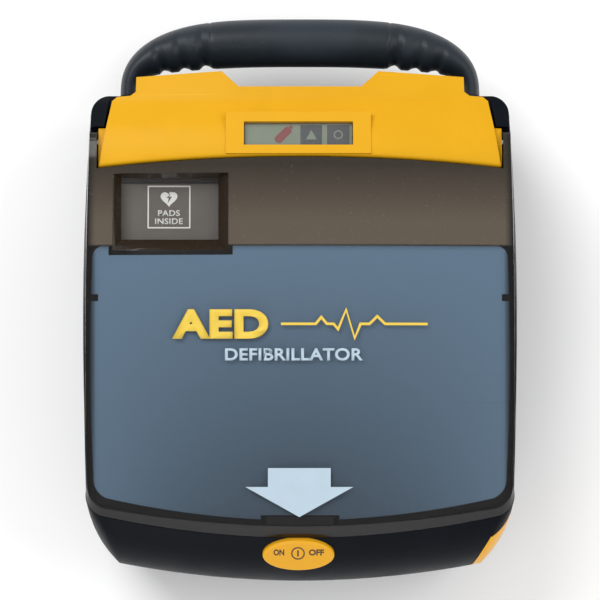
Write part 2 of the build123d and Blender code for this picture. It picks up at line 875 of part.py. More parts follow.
os.makedirs("parts", exist_ok=True)
bar = handle_loft(1.0)
write("base_shell", base_shell(bar))
write("upper_casing", upper_casing(bar) + case_bosses())
write("case_gasket", case_gasket(bar))
write("case_screws", *case_screws())
write("top_hood", top_hood())
write("display_lens", display_lens())
write("display_panel", display_panel())
write("display_board", display_board())
write("lid_shell", lid_shell())
write("lid_window_pane", lid_window_pane())
write("instruction_card", instruction_card())
write("hinge_pins", *hinge_pins())
write("lid_catch", lid_catch())
write("power_button", power_button())
write("power_spring", power_spring())
write("power_switch", power_switch())
write("latch_slider", latch_slider())
write("shock_button", shock_button())
write("shock_bezel", shock_bezel())
write("shock_spring", shock_spring())
write("shock_switch", shock_switch())
write("inner_deck", inner_deck())
write("deck_screws", *deck_screws())
write("electrode_pouch", electrode_pouch())
write("pouch_label", pouch_label())
write("pouch_tab", pouch_tab())
write("connector_socket", connector_socket())
write("electrode_connector", electrode_connector())
write("infrared_window", infrared_window())
write("speaker_frame", speaker_frame())
write("speaker_magnet", speaker_magnet())
write("main_board", main_board())
write("board_screws", *board_screws())
write("storage_capacitor", storage_capacitor())
write("transformer_core", transformer_core())
write("transformer_windings", *transformer_windings())
write("discharge_relay", discharge_relay())
write("battery_cells", *battery_cells())
write("battery_tray", battery_tray())
write("cartridge_contacts", *cartridge_contacts())
write("cartridge_face", cartridge_face())
write("cartridge_body", cartridge_body())
write("cartridge_cells", *cartridge_cells())
write("cartridge_pins", *cartridge_pins())
write("handle_core", handle_core(bar))
write("handle_grip", handle_grip(bar))
write("handle_arms", handle_arms(bar))
write("handle_screws", *handle_screws())
write("rubber_feet", *rubber_feet())
write("rating_plate", rating_plate())
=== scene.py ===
import json
from math import cos, pi, radians, sin, sqrt

import bmesh
import bpy
from bpy.props import FloatProperty, FloatVectorProperty, PointerProperty
from bpy.types import Operator, Panel, PropertyGroup
from mathutils import Matrix, Vector, noise

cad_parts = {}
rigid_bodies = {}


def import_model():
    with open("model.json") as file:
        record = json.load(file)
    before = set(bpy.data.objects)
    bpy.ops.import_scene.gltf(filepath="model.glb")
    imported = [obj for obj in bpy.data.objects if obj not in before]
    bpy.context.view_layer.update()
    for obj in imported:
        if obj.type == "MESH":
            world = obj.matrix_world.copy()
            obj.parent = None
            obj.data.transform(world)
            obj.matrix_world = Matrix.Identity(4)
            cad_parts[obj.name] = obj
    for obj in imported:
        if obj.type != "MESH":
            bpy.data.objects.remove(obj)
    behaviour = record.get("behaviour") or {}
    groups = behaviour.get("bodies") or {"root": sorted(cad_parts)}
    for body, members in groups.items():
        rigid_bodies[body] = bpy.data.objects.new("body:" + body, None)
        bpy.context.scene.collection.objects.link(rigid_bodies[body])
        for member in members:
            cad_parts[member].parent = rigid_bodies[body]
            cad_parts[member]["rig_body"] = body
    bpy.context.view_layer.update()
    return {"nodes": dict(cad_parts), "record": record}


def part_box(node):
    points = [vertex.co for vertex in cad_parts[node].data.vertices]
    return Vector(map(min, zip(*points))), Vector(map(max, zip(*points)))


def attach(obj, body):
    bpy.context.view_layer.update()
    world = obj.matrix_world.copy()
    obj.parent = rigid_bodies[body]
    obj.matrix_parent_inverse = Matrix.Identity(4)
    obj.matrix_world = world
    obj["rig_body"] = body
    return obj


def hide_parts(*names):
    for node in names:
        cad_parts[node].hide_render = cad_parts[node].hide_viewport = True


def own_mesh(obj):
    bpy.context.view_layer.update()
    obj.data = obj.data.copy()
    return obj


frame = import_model()

bl_info = {
    "name": "Portable Defibrillator",
    "version": (1, 0, 0),
    "blender": (4, 5, 0),
    "location": "View3D > Sidebar > Defibrillator",
    "description": "Dresses a portable defibrillator's frame with finished surfaces, prints and fittings",
    "category": "Object",
}

MM = 0.001

# Driving shapes shared by the frame's lid, hood and handle, in millimetres
CROWN_RADIUS = 1128.0
TOP_Z = 107.0
LID_CREST = (58.0, 107.0)
LID_MIDDLE = (-25.0, 104.7)
LID_FRONT = (-116.0, 98.6)
BUTTON_CENTRE = (-0.7, -118.4, 85.3)
BUTTON_SLOPE = 44.0
DISPLAY_CENTRE = (-0.7, 70.6, 103.9)
DISPLAY_SLOPE = -10.3
HANDLE_FOOT_X = 80.3
HANDLE_FOOT_Y = 93.9
HANDLE_MIDDLE_Y = 120.2
HANDLE_Z = 48.0
GRIP_HALF = 41.4


# ---- settings

def colour(name, description, value):
    return FloatVectorProperty(
        name=name, description=description, subtype="COLOR", size=3, min=0, max=1, default=value
    )


def length(name, description, value):
    return FloatProperty(
        name=name, description=description, default=value, min=0, subtype="DISTANCE", unit="LENGTH"
    )


class DefibColours(PropertyGroup):
    """The finishes a user would change."""

    hood: colour("Hood", "Yellow of the hood's moulding", (0.62, 0.315, 0.006))
    casing: colour("Casing", "Black of the casing halves", (0.0034, 0.0050, 0.0082))
    handle: colour("Handle", "Rubber of the handle", (0.016, 0.023, 0.031))
    smoke: colour("Smoke", "Tint of the lid", (0.022, 0.021, 0.022))
    haze: colour("Haze", "Brown haze of the lid near the hood", (0.100, 0.080, 0.060))
    card: colour("Card", "Slate of the sheet inside the lid", (0.330, 0.545, 0.790))
    print_white: colour("White print", "Light lettering and arrow", (0.38, 0.48, 0.56))
    print_yellow: colour("Yellow print", "Yellow lettering", (0.66, 0.46, 0.045))
    button: colour("Button", "Yellow of the power button", (0.74, 0.36, 0.012))
    shock: colour("Shock button", "Orange red of the shock button", (0.50, 0.06, 0.02))


class DefibSizes(PropertyGroup):
    """Small sizes of the finish and fittings."""

    edge_round: length("Edge round", "Rounding of the moulded edges", 0.00045)
    print_height: length("Print height", "How far the lid's print stands proud", 0.00006)
    camera_distance: length("Camera distance", "From the camera to the middle of the object", 1.25)


# ---- node helpers

def feed(node, **values):
    """Sets a node's inputs: a socket is linked, and anything else becomes the input's own value."""
    for label, value in values.items():
        socket = node.inputs[label.replace("_", " ")]
        if isinstance(value, bpy.types.NodeSocket):
            node.id_data.links.new(value, socket)
        else:
            socket.default_value = value


def add_node(tree, kind, settings=(), **values):
    """A node with its settings and inputs."""
    node = tree.nodes.new(kind)
    for label, value in settings:
        setattr(node, label, value)
    feed(node, **values)
    return node


def object_coords(tree):
    return add_node(tree, "ShaderNodeTexCoord").outputs["Object"]


def noise_field(tree, **values):
    """Noise over the piece's own coordinates."""
    return add_node(tree, "ShaderNodeTexNoise", Vector=object_coords(tree), **values).outputs["Fac"]


def drawn_lines(tree, detail, **mapping):
    """Noise stretched into lines by a mapping of the piece's own coordinates."""
    stretch = add_node(tree, "ShaderNodeMapping", Vector=object_coords(tree), **mapping).outputs["Vector"]
    return add_node(tree, "ShaderNodeTexNoise", Vector=stretch, Detail=detail, Scale=1.0).outputs["Fac"]


def math_node(tree, operation, a, b=None):
    node = add_node(tree, "ShaderNodeMath", [("operation", operation)])
    for socket, value in zip(node.inputs, (a, b)):
        if isinstance(value, bpy.types.NodeSocket):
            tree.links.new(value, socket)
        elif value is not None:
            socket.default_value = value
    return node.outputs[0]


def scaled(tree, value, factor, base=0.0):
    """value times factor, plus base."""
    product = math_node(tree, "MULTIPLY", value, factor)
    return math_node(tree, "ADD", product, base) if base else product


def map_range(tree, value, low, high):
    """0 where the value is low, 1 where it is high, and even between them."""
    node = add_node(tree, "ShaderNodeMapRange", Value=value, From_Min=low, From_Max=high)
    return node.outputs["Result"]


def axis_of(tree, vector, axis):
    return add_node(tree, "ShaderNodeSeparateXYZ", Vector=vector).outputs[axis]


def facing_up(tree):
    """1 on a face that points straight up, -1 on one that points down."""
    return axis_of(tree, add_node(tree, "ShaderNodeNewGeometry").outputs["Normal"], "Z")


def mix_colours(tree, factor, a, b):
    """A colour mix; a and b are colours or sockets, and factor is a socket."""
    node = add_node(tree, "ShaderNodeMix", [("data_type", "RGBA")])
    tree.links.new(factor, node.inputs[0])
    for socket, value in ((node.inputs[6], a), (node.inputs[7], b)):
        if isinstance(value, bpy.types.NodeSocket):
            tree.links.new(value, socket)
        else:
            socket.default_value = (*value, 1.0)
    return node.outputs[2]


def tinted(value, factor):
    return tuple(min(1.0, c * factor) for c in value)


def add_relief(tree, shader, height, strength, distance):
    """A bump on the shader's normal."""
    bump = add_node(tree, "ShaderNodeBump", Height=height, Strength=strength, Distance=distance)
    feed(shader, Normal=bump.outputs["Normal"])


# ---- shader groups

def new_group(name, inputs, outputs):
    """An empty shader node group with named numbers in and out."""
    tree = bpy.data.node_groups.new(name, "ShaderNodeTree")
    for label, value in inputs.items():
        socket = tree.interface.new_socket(label, in_out="INPUT", socket_type="NodeSocketFloat")
        socket.default_value = value
    for label in outputs:
        tree.interface.new_socket(label, in_out="OUTPUT", socket_type="NodeSocketFloat")
    return tree, tree.nodes.new("NodeGroupInput").outputs, tree.nodes.new("NodeGroupOutput")


def group_moulded_grain(name):
    """Fine moulded texture: a height for bump and a small roughness change."""
    tree, given, leave = new_group(name, {"Size": 0.0006, "Depth": 1.0}, ["Height", "Roughness Change"])
    pits = add_node(
        tree, "ShaderNodeTexVoronoi", [("feature", "SMOOTH_F1")], Vector=object_coords(tree),
        Scale=math_node(tree, "DIVIDE", 1.0, given["Size"]), Randomness=1.0,
    )
    clouds = noise_field(tree, Detail=3.0, Scale=38.0)
    height = math_node(tree, "MULTIPLY", pits.outputs["Distance"], given["Depth"])
    feed(leave, Height=height, Roughness_Change=math_node(tree, "SUBTRACT", clouds, 0.5))
    return tree


def group_handling_marks(name):
    """Faint smudges and hairline scratches from handling, as masks."""
    inputs = {"Smudge Size": 22.0, "Scratch Amount": 0.5}
    tree, given, leave = new_group(name, inputs, ["Smudges", "Scratches"])
    smudge = noise_field(tree, Scale=given["Smudge Size"], Detail=5.0, Roughness=0.6, Distortion=0.8)
    lines = drawn_lines(tree, 2.0, Rotation=(0.0, 0.0, 0.5), Scale=(9.0, 700.0, 9.0))
    scratches = math_node(tree, "MULTIPLY", map_range(tree, lines, 0.70, 0.78), given["Scratch Amount"])
    feed(leave, Smudges=map_range(tree, smudge, 0.45, 0.72), Scratches=scratches)
    return tree


def group_dust(name):
    """Specks of dust that settle on faces turned upwards, as a mask."""
    tree, given, leave = new_group(name, {"Amount": 0.3}, ["Mask"])
    specks = map_range(tree, noise_field(tree, Detail=2.0, Scale=900.0), 0.66, 0.74)
    settled = math_node(tree, "MULTIPLY", specks, math_node(tree, "MAXIMUM", facing_up(tree), 0.0))
    feed(leave, Mask=math_node(tree, "MULTIPLY", settled, given["Amount"]))
    return tree


GROUP_MAKERS = {
    "Moulded Grain": group_moulded_grain, "Handling Marks": group_handling_marks, "Settled Dust": group_dust,
}
GROUPS = {}


def place_group(tree, name, **values):
    """The outputs of a shared group with its own values, built the first time that it is used."""
    if name not in GROUPS:
        GROUPS[name] = GROUP_MAKERS[name](name)
    return add_node(tree, "ShaderNodeGroup", [("node_tree", GROUPS[name])], **values).outputs


# ---- materials

MATERIALS = {}
ACRYLIC_IOR = 1.49
DUST_ON_PLASTIC = (0.55, 0.53, 0.50)
DUST_ON_LID = (0.5, 0.5, 0.5)
CARD_UNDERSIDE = (0.30, 0.36, 0.42)


def start_material(name):
    material = bpy.data.materials.new(name)
    material.use_nodes = True
    tree = material.node_tree
    MATERIALS[name] = material
    return tree, tree.nodes["Principled BSDF"]


def plastic(
    name, base, roughness=0.4, grain=0.0006, bump=0.25, coat=0.0, smudge=0.12, dust=0.05, spread=0.12,
    gloss=0.45,
):
    """A moulded plastic: slightly uneven colour, grain in the bump and smudges in the gloss."""
    tree, shader = start_material(name)
    marks = place_group(tree, "Handling Marks", Smudge_Size=26.0, Scratch_Amount=0.35)
    texture = place_group(tree, "Moulded Grain", Size=grain, Depth=1.0)
    specks = place_group(tree, "Settled Dust", Amount=dust)
    paler = tinted(base, 1.0 + spread * 0.6)
    uneven = mix_colours(tree, marks["Smudges"], tinted(base, 1.0 - spread), paler)
    scratched = mix_colours(tree, marks["Scratches"], uneven, tinted(base, 1.5))
    dusty = mix_colours(tree, specks["Mask"], scratched, DUST_ON_PLASTIC)
    smudged = scaled(tree, marks["Smudges"], smudge, roughness)
    rough = math_node(tree, "ADD", smudged, scaled(tree, texture["Roughness Change"], 0.1))
    feed(shader, Base_Color=dusty, Roughness=rough)
    feed(shader, Coat_Weight=coat, Coat_Roughness=0.12, Specular_IOR_Level=gloss)
    add_relief(tree, shader, texture["Height"], bump, 0.00012)
    return shader


def rubber(name, base):
    """Soft-touch rubber: broad sheen, fine pitting and paler rubbed places."""
    shader = plastic(
        name, base, roughness=0.42, grain=0.00045, bump=0.3, smudge=0.14, dust=0.04, spread=0.2, gloss=0.24
    )
    feed(shader, Sheen_Weight=0.05, Sheen_Roughness=0.4)


def metal(name, base, roughness=0.28, brushed=True):
    """Bare or plated metal with drawn lines and uneven polish."""
    tree, shader = start_material(name)
    lines = drawn_lines(tree, 3.0, Scale=(60.0, 2400.0, 60.0) if brushed else (300.0, 300.0, 300.0))
    feed(shader, Base_Color=mix_colours(tree, lines, tinted(base, 0.8), tinted(base, 1.15)))
    feed(shader, Roughness=scaled(tree, lines, 0.18, roughness - 0.09), Metallic=1.0)
    add_relief(tree, shader, lines, 0.15, 0.0001)


def smoke_plastic(name, base, haze):
    """The lid's smoke tint: clearer over the card, with a brown haze that carries painted shade near the
    hood, the shade fading away from the hood.
    """
    tree, shader = start_material(name)
    marks = place_group(tree, "Handling Marks", Smudge_Size=14.0, Scratch_Amount=0.5)
    specks = place_group(tree, "Settled Dust", Amount=0.07)
    place_y = axis_of(tree, object_coords(tree), "Y")
    sideways = math_node(tree, "ABSOLUTE", axis_of(tree, object_coords(tree), "X"))
    # painted shade: the haze is darkened to about a third near the hood and lightens away from it
    shade_fades_from_hood = map_range(tree, place_y, 0.056, 0.030)
    over_card = map_range(tree, place_y, 0.0203, 0.0193)
    wall = map_range(tree, math_node(tree, "ABSOLUTE", facing_up(tree)), 0.8, 0.6)
    edge = math_node(tree, "MAXIMUM", map_range(tree, sideways, 0.0915, 0.0955), wall)
    haze_with_painted_shade = mix_colours(tree, shade_fades_from_hood, tinted(haze, 0.34), haze)
    tint = mix_colours(tree, over_card, haze_with_painted_shade, base)
    edged = mix_colours(tree, edge, tint, tinted(base, 0.2))
    clearing = scaled(tree, over_card, -0.52, 0.84)
    edging = math_node(tree, "ADD", scaled(tree, edge, 0.45), scaled(tree, marks["Scratches"], 0.04))
    alpha = math_node(tree, "MINIMUM", math_node(tree, "ADD", clearing, edging), 0.93)
    feed(shader, Base_Color=mix_colours(tree, specks["Mask"], edged, DUST_ON_LID), Alpha=alpha)
    feed(shader, Roughness=scaled(tree, marks["Smudges"], 0.07, 0.12))
    feed(shader, IOR=ACRYLIC_IOR, Specular_IOR_Level=0.24)


def clear_plastic(name):
    """Nearly clear glossy window plastic with faint haze."""
    tree, shader = start_material(name)
    marks = place_group(tree, "Handling Marks", Smudge_Size=60.0, Scratch_Amount=0.4)
    feed(shader, Base_Color=mix_colours(tree, marks["Smudges"], (0.16, 0.15, 0.14), (0.24, 0.23, 0.22)))
    feed(shader, Roughness=scaled(tree, marks["Smudges"], 0.08, 0.05))
    feed(shader, Alpha=scaled(tree, marks["Scratches"], 0.05, 0.10), IOR=ACRYLIC_IOR)


def printed(name, base, roughness=0.45):
    """Screen-printed ink: a flat colour broken by the mesh's faint dots and thin places."""
    tree, shader = start_material(name)
    dots = add_node(tree, "ShaderNodeTexVoronoi", Vector=object_coords(tree), Scale=2600.0)
    thin = noise_field(tree, Scale=160.0, Detail=4.0)
    feed(shader, Base_Color=mix_colours(tree, thin, tinted(base, 0.93), tinted(base, 1.05)))
    feed(shader, Roughness=scaled(tree, dots.outputs["Distance"], 0.1, roughness - 0.05))


def slate_card(name, base):
    """The card inside the lid: printed paper, with painted shade that deepens its tone towards the middle of
    its lower edge.
    """
    tree, shader = start_material(name)
    across = axis_of(tree, object_coords(tree), "X")
    # painted shade: the card darkens towards the middle of its lower edge
    centre = map_range(tree, math_node(tree, "MULTIPLY", across, across), 0.0086, 0.0)
    down = map_range(tree, axis_of(tree, object_coords(tree), "Y"), 0.022, -0.105)
    depth = math_node(tree, "MULTIPLY", down, math_node(tree, "ADD", centre, 0.35))
    card_with_painted_shade = mix_colours(tree, scaled(tree, depth, 0.74), base, tinted(base, 0.26))
    fibre = noise_field(tree, Scale=520.0, Detail=5.0)
    paper = mix_colours(tree, scaled(tree, fibre, 0.12), card_with_painted_shade, tinted(base, 1.3))
    under = map_range(tree, facing_up(tree), -0.4, -0.6)
    feed(shader, Base_Color=mix_colours(tree, under, paper, CARD_UNDERSIDE), Roughness=0.55)
    add_relief(tree, shader, fibre, 0.04, 0.00005)


def foil(name, base):
    """Sealed laminate of the electrode pouch: soft wrinkles and a dull metallic shine."""
    tree, shader = start_material(name)
    creases = noise_field(tree, Scale=38.0, Detail=6.0, Roughness=0.62, Distortion=1.2)
    feed(shader, Base_Color=mix_colours(tree, creases, tinted(base, 0.86), tinted(base, 1.08)))
    feed(shader, Roughness=scaled(tree, creases, 0.2, 0.3), Metallic=0.35)
    add_relief(tree, shader, creases, 0.6, 0.0012)


def make_materials(colours):
    """Every finish of the object, by the name of its slot in the record where it has one."""
    satin = {"bump": 0.05, "roughness": 0.3}
    bright = {"smudge": 0.08, "spread": 0.03}
    plastic("casing_black", colours.casing, 0.42, bump=0.3, spread=0.18, dust=0.01, gloss=0.06)
    plastic("hood_yellow", colours.hood, 0.38, bump=0.08, dust=0.0, gloss=0.12, **bright)
    plastic("button_yellow", colours.button, 0.34, bump=0.06, dust=0.02, gloss=0.25, **bright)
    plastic("shock_orange", colours.shock, 0.35, bump=0.08, coat=0.2, spread=0.05)
    plastic("latch_yellow", (0.42, 0.18, 0.012), 0.4, bump=0.05, gloss=0.2)
    plastic("window_frame", (0.022, 0.014, 0.008), 0.22, bump=0.03, spread=0.1, gloss=0.4)
    plastic("dark_plastic", (0.020, 0.018, 0.017), 0.45, bump=0.12, spread=0.12, gloss=0.25)
    plastic("circuit_board", (0.012, 0.13, 0.045), 0.35, bump=0.05)
    plastic("capacitor_sleeve", (0.02, 0.035, 0.11), **satin)
    plastic("cell_wrap", (0.05, 0.20, 0.12), **satin)
    plastic("infrared_red", (0.09, 0.004, 0.008), 0.12, bump=0.02, coat=0.5)
    smoke_plastic("smoke_plastic", colours.smoke, colours.haze)
    clear_plastic("clear_plastic")
    slate_card("card_blue", tuple(colours.card))
    rubber("rubber_black", colours.handle)
    foil("pouch_foil", (0.13, 0.125, 0.12))
    metal("steel", (0.62, 0.62, 0.63))
    metal("spring_steel", (0.55, 0.55, 0.57), roughness=0.35)
    metal("copper", (0.78, 0.34, 0.14), roughness=0.35)
    metal("ferrite", (0.10, 0.10, 0.11), roughness=0.6, brushed=False)
    metal("contact_gold", (0.90, 0.66, 0.24), roughness=0.25)
    metal("plate_grey", (0.55, 0.56, 0.57), roughness=0.4)
    printed("display_glass", (0.175, 0.225, 0.165), roughness=0.3)
    printed("label_white", (0.80, 0.80, 0.77))
    printed("label_black", (0.085, 0.072, 0.060), roughness=0.4)
    printed("print_white", colours.print_white)
    printed("print_yellow", colours.print_yellow)
    printed("print_brown", (0.045, 0.016, 0.005))
    printed("icon_dark", (0.045, 0.053, 0.062), roughness=0.3)
    printed("icon_red", (0.20, 0.035, 0.032), roughness=0.3)


# ---- shapes of the frame

def circle_through(a, b, c):
    """Centre and radius of the circle through three points of a side view."""
    a, b, c = complex(*a), complex(*b), complex(*c)
    turn = (c - a) / (b - a)
    centre = a - (a - b) * (turn - abs(turn) ** 2) / (2j * turn.imag)
    return centre.real, centre.imag, abs(centre - a)


LID_ARC = circle_through(LID_CREST, LID_MIDDLE, LID_FRONT)


def lid_height(x, y):
    """Height of the lid's outer surface above a plan point, in millimetres."""
    centre_y, centre_z, radius = LID_ARC
    profile = centre_z + sqrt(radius ** 2 - (y - centre_y) ** 2)
    reach = CROWN_RADIUS - (TOP_Z - profile)
    return TOP_Z - CROWN_RADIUS + sqrt(reach ** 2 - x ** 2)


def slope_matrix(centre, degrees):
    """Places a flat piece drawn in plan onto a plane tipped about the X axis, in metres."""
    return Matrix.Translation(Vector(centre) * MM) @ Matrix.Rotation(radians(degrees), 4, "X")


# ---- mesh helpers

def new_object(name, data):
    obj = bpy.data.objects.new(name, data)
    bpy.context.scene.collection.objects.link(obj)
    return obj


def mesh_from(name, build):
    mesh = bpy.data.meshes.new(name)
    build.to_mesh(mesh)
    build.free()
    return new_object(name, mesh)


def solid_from(name, build, sharp_degrees=None):
    """A smooth-shaded closed piece with its faces turned outwards."""
    bmesh.ops.recalc_face_normals(build, faces=build.faces)
    obj = mesh_from(name, build)
    obj.data.shade_smooth()
    if sharp_degrees:
        obj.data.set_sharp_from_angle(angle=radians(sharp_degrees))
    return obj


def join_rings(build, rings):
    """Joins each closed ring of vertices to the next with a band of faces."""
    for near, far in zip(rings, rings[1:]):
        for k in range(len(near)):
            following = (k + 1) % len(near)
            build.faces.new((near[k], near[following], far[following], far[k]))


def thicken(build, rise):
    """Turns an open sheet into a plate."""
    raised = bmesh.ops.extrude_face_region(build, geom=build.faces[:])
    moved = [item for item in raised["geom"] if isinstance(item, bmesh.types.BMVert)]
    bmesh.ops.translate(build, verts=moved, vec=(0, 0, rise))
    bmesh.ops.recalc_face_normals(build, faces=build.faces)


def finish_piece(obj, body, material, replaces=()):
    """Gives a finished piece its material and body, and hides the frame nodes it stands for."""
    obj.data.materials.clear()
    obj.data.materials.append(MATERIALS[material])
    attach(obj, body)
    if replaces:
        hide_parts(*replaces)
    return obj


def slot_of_node(node):
    return {e["node"]: e["material_slot"] for e in frame["record"]["subparts"]}[node]


def dress(node, rounding):
    """Replaces a frame node with a smooth-shaded copy whose sharp edges are rounded."""
    weld, sliver, flat, sharp = 4e-6, 1e-6, radians(0.4), radians(32)
    build = bmesh.new()
    build.from_mesh(frame["nodes"][node].data)
    bmesh.ops.remove_doubles(build, verts=build.verts, dist=weld)
    bmesh.ops.dissolve_degenerate(build, edges=build.edges, dist=sliver)
    bmesh.ops.dissolve_limit(build, angle_limit=flat, verts=build.verts, edges=build.edges)
    obj = mesh_from(node + "_skin", build)
    mesh = obj.data
    if "custom_normal" in mesh.attributes:
        mesh.attributes.remove(mesh.attributes["custom_normal"])
    mesh.shade_smooth()
    mesh.set_sharp_from_angle(angle=sharp)
    bevel = obj.modifiers.new("rounding", "BEVEL")
    bevel.width = rounding
    bevel.segments = 2
    bevel.limit_method = "ANGLE"
    bevel.angle_limit = sharp
    bevel.harden_normals = True
    slot = slot_of_node(node)
    finish_piece(obj, frame["nodes"][node]["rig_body"], slot, [node])


def paint_nodes(*nodes, material=None):
    """Keeps frame nodes as they are and gives them their finish."""
    for node in nodes:
        slots = frame["nodes"][node].data.materials
        slots.clear()
        slots.append(MATERIALS[material or slot_of_node(node)])


# ---- flat prints

def filled_mesh(name, curve):
    """The filled face of lettering or a flat curve; the curve itself is removed."""
    temporary = new_object(name + "_curve", curve)
    bpy.context.view_layer.update()
    mesh = bpy.data.meshes.new_from_object(temporary)
    bpy.data.objects.remove(temporary)
    bpy.data.curves.remove(curve)
    return mesh


def text_mesh(name, words, height_mm, width_mm, weight_mm, spacing=1.0):
    """Flat lettering in plan, centred at the origin and fitted to a width, in metres."""
    curve = bpy.data.curves.new(name, "FONT")
    curve.body = words
    curve.size = 1.0
    curve.offset = weight_mm / height_mm * 0.7
    curve.space_character = spacing
    curve.resolution_u = 6
    curve.align_x = "CENTER"
    mesh = filled_mesh(name, curve)
    xs = [v.co.x for v in mesh.vertices]
    ys = [v.co.y for v in mesh.vertices]
    middle = Vector(((min(xs) + max(xs)) / 2, (min(ys) + max(ys)) / 2, 0))
    scale_x = width_mm * MM / (max(xs) - min(xs))
    scale_y = height_mm * MM / (max(ys) - min(ys))
    for vertex in mesh.vertices:
        offset = vertex.co - middle
        vertex.co = Vector((offset.x * scale_x, offset.y * scale_y, 0))
    return mesh


def outline_mesh(name, loops):
    """A flat filled shape in plan from outlines in millimetres; inner outlines are holes."""
    curve = bpy.data.curves.new(name, "CURVE")
    curve.dimensions = "2D"
    curve.fill_mode = "BOTH"
    for loop in loops:
        spline = curve.splines.new("POLY")
        spline.points.add(len(loop) - 1)
        for point, (x, y) in zip(spline.points, loop):
            point.co = (x * MM, y * MM, 0, 1)
        spline.use_cyclic_u = True
    return filled_mesh(name, curve)


def as_plate(mesh, thickness):
    """Turns a flat mesh into a thin plate whose face points up."""
    build = bmesh.new()
    build.from_mesh(mesh)
    bmesh.ops.remove_doubles(build, verts=build.verts, dist=1e-7)
    for face in build.faces:
        if face.normal.z < 0:
            face.normal_flip()
    thicken(build, thickness)
    build.to_mesh(mesh)
    build.free()


def cut_across(mesh, step, axis):
    """Cuts a flat print into strips so that it can bend over the lid's crown."""
    build = bmesh.new()
    build.from_mesh(mesh)
    values = [v.co[axis] for v in build.verts]
    normal = Vector([float(i == axis) for i in range(3)])
    place = min(values) + step
    while place < max(values):
        parts = build.verts[:] + build.edges[:] + build.faces[:]
        bmesh.ops.bisect_plane(build, geom=parts, plane_co=normal * place, plane_no=normal)
        place += step
    build.to_mesh(mesh)
    build.free()


def print_on_lid(mesh, x_mm, y_mm, material, lift):
    """Lays a flat print on the lid's outer surface, following its crown."""
    strip_width, strip_length, gap = 0.006, 0.012, 0.00002
    cut_across(mesh, strip_width, 0)
    cut_across(mesh, strip_length, 1)
    as_plate(mesh, lift)
    for vertex in mesh.vertices:
        x = vertex.co.x / MM + x_mm
        y = vertex.co.y / MM + y_mm
        vertex.co = Vector((x * MM, y * MM, lid_height(x, y) * MM + vertex.co.z + gap))
    finish_piece(new_object(mesh.name, mesh), "lid", material)


def print_on_plane(mesh, matrix, body, material, lift):
    """Lays a flat print on a flat face, which the matrix places."""
    as_plate(mesh, lift)
    mesh.transform(matrix)
    finish_piece(new_object(mesh.name, mesh), body, material)


def rectangle(x0, y0, x1, y1):
    return [(x0, y0), (x1, y0), (x1, y1), (x0, y1)]


def circle_offsets(radius, count):
    """Evenly spaced points of a circle round the origin."""
    return [(radius * cos(2 * pi * i / count), radius * sin(2 * pi * i / count)) for i in range(count)]


def shifted(points, dx, dy):
    return [(x + dx, y + dy) for x, y in points]


def rounded_box_points(width, height, radius, steps=6):
    points = []
    for quarter, (sx, sy) in enumerate(((1, 1), (-1, 1), (-1, -1), (1, -1))):
        for step in range(steps + 1):
            angle = pi / 2 * (quarter + step / steps)
            x = sx * (width / 2 - radius) + radius * cos(angle)
            points.append((x, sy * (height / 2 - radius) + radius * sin(angle)))
    return points


def heart_points(size, count=60):
    points = []
    for i in range(count):
        t = 2 * pi * i / count
        x = 16 * sin(t) ** 3
        y = 13 * cos(t) - 5 * cos(2 * t) - 2 * cos(3 * t) - cos(4 * t)
        points.append((x * size / 32, y * size / 32))
    return points


def bolt_points(size):
    """A plain lightning bolt."""
    shape = (
        (0.10, 0.55), (-0.28, -0.02), (-0.03, -0.02), (-0.14, -0.55), (0.28, 0.10), (0.02, 0.10), (0.24, 0.55)
    )
    return [(x * size, y * size) for x, y in shape]


def ribbon_points(line, width):
    """The outline of a line drawn with a constant width."""
    spots = [Vector(spot) for spot in line]
    runs = [after - before for before, after in zip(spots, spots[1:])]
    left, right = [], []
    for i, spot in enumerate(spots):
        normals = [Vector((-run.y, run.x)).normalized() for run in runs[max(i - 1, 0):i + 1]]
        offset = sum(normals, Vector((0, 0)))
        mitre = min(1.8, 1 / max(0.35, offset.length / len(normals)))
        offset = offset.normalized() * mitre * width / 2
        left.append(tuple(spot + offset))
        right.append(tuple(spot - offset))
    return left + right[::-1]


# ---- fittings

def screw_head(name, radius, height):
    """A pan head with a cross recess, its base at z 0 and its axis on the origin."""
    profile = ((1.0, 0.0), (1.0, 0.45), (0.86, 0.82), (0.62, 1.0))
    count, arm, waist, taper, floor_height = 24, 0.46, 0.2, 0.8, 0.45
    build = bmesh.new()
    rings = []
    for share, rise in profile:
        circle = circle_offsets(radius * share, count)
        rings.append([build.verts.new((x, y, height * rise)) for x, y in circle])
    recess = []
    for k, (x, y) in enumerate(circle_offsets(radius, count)):
        reach = arm if k % 6 == 0 else waist
        recess.append((x * reach, y * reach))
    rings.append([build.verts.new((x, y, height)) for x, y in recess])
    rings.append([build.verts.new((x * taper, y * taper, height * floor_height)) for x, y in recess])
    join_rings(build, rings)
    build.faces.new(rings[0][::-1])
    build.faces.new(rings[-1])
    return solid_from(name, build, 40)


